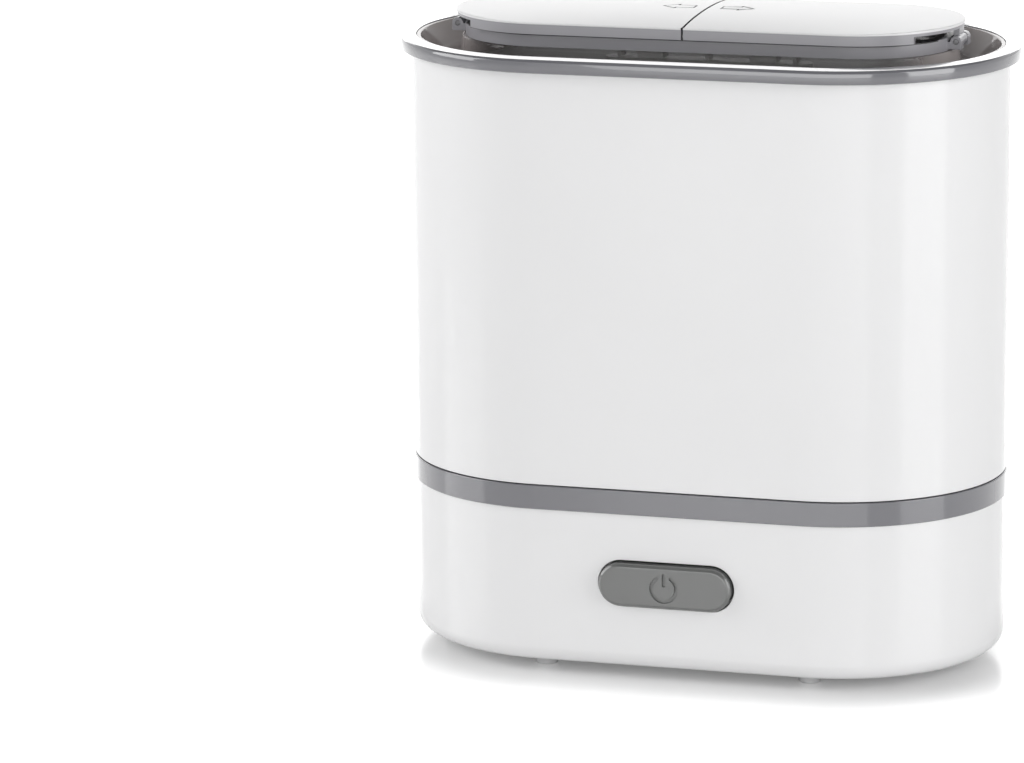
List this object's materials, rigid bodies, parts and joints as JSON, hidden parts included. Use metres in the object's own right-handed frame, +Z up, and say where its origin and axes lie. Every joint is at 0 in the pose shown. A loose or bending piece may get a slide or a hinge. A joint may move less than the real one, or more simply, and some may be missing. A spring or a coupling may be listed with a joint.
{
  "type": "baby bottle sterilizer",
  "caption": "Oblong electric steam sterilizer for baby bottles: white tub with a rack on a heated base, grey band and oval power button, smoked lid with a pair of domed flaps.",
  "frame": {"origin": "on the floor, under the middle of the base", "axes": "+X along the long side to the right, -Y out of the front where the power button is, +Z up"},
  "size_m": [0.24, 0.1372, 0.2495],
  "materials": {
    "white_shell": "glossy white moulded plastic",
    "grey_trim": "glossy mid grey moulded plastic",
    "button_plastic": "satin grey moulded plastic with an engraved sign",
    "smoked_plastic": "smoked clear plastic, glossy",
    "cover_plastic": "fine-grained white plastic",
    "rack_plastic": "satin white plastic",
    "foot_rubber": "soft pale grey rubber",
    "silicone": "translucent silicone",
    "stainless_steel": "pressed and brushed stainless steel",
    "element_sheath": "dull metal sheath",
    "contact_metal": "plated metal",
    "board_laminate": "green circuit board",
    "dark_plastic": "black moulded plastic",
    "lead_insulation": "black wire insulation",
    "screw_steel": "plated steel"
  },
  "bodies": {
    "base": {"base_housing": "white_shell", "base_band": "grey_trim", "bottom_cover": "cover_plastic", "rubber_feet": "foot_rubber", "cover_screws": "screw_steel", "heating_plate": "stainless_steel", "plate_gasket": "silicone", "heating_element": "element_sheath", "thermostat": "contact_metal", "thermal_fuse": "contact_metal", "control_board": "board_laminate", "board_screws": "screw_steel", "power_switch": "dark_plastic", "relay": "dark_plastic", "mains_inlet": "dark_plastic", "inlet_contacts": "contact_metal", "inlet_leads": "lead_insulation", "element_leads": "lead_insulation"},
    "button": {"power_button": "button_plastic", "switch_actuator": "dark_plastic"},
    "tub": {"tub": "white_shell"},
    "rack": {"rack_base": "rack_plastic", "rack_posts": "rack_plastic", "rack_handle": "rack_plastic", "handle_grips": "rack_plastic"},
    "lid": {"lid_rim": "grey_trim", "lid_tray": "smoked_plastic", "lid_seal": "silicone", "lid_collar": "grey_trim", "hinge_pins": "screw_steel"},
    "left_flap": {"left_flap_skirt": "grey_trim", "left_flap_cap": "white_shell"},
    "right_flap": {"right_flap_skirt": "grey_trim", "right_flap_cap": "white_shell"}
  },
  "joints": [
    {"name": "button_press", "type": "slide", "parent": "base", "child": "button", "axis": [0, 1, 0], "range_m": [0, 0.0018], "stiffness_N_per_m": 600},
    {"name": "tub_lift", "type": "slide", "parent": "base", "child": "tub", "axis": [0, 0, 1], "range_m": [0, 0.1]},
    {"name": "lid_lift", "type": "slide", "parent": "tub", "child": "lid", "axis": [0, 0, 1], "range_m": [0, 0.3]},
    {"name": "rack_lift", "type": "slide", "parent": "tub", "child": "rack", "axis": [0, 0, 1], "range_m": [0, 0.15]},
    {"name": "left_flap_hinge", "type": "hinge", "parent": "lid", "child": "left_flap", "pos_m": [-0.0977, 0, 0.241], "axis": [0, -1, 0], "range_deg": [0, 100]},
    {"name": "right_flap_hinge", "type": "hinge", "parent": "lid", "child": "right_flap", "pos_m": [0.0977, 0, 0.241], "axis": [0, 1, 0], "range_deg": [0, 100]}
  ],
  "couplings": [
    {"joint": "rack_lift", "follows": "lid_lift", "ratio": 0.5}
  ]
}
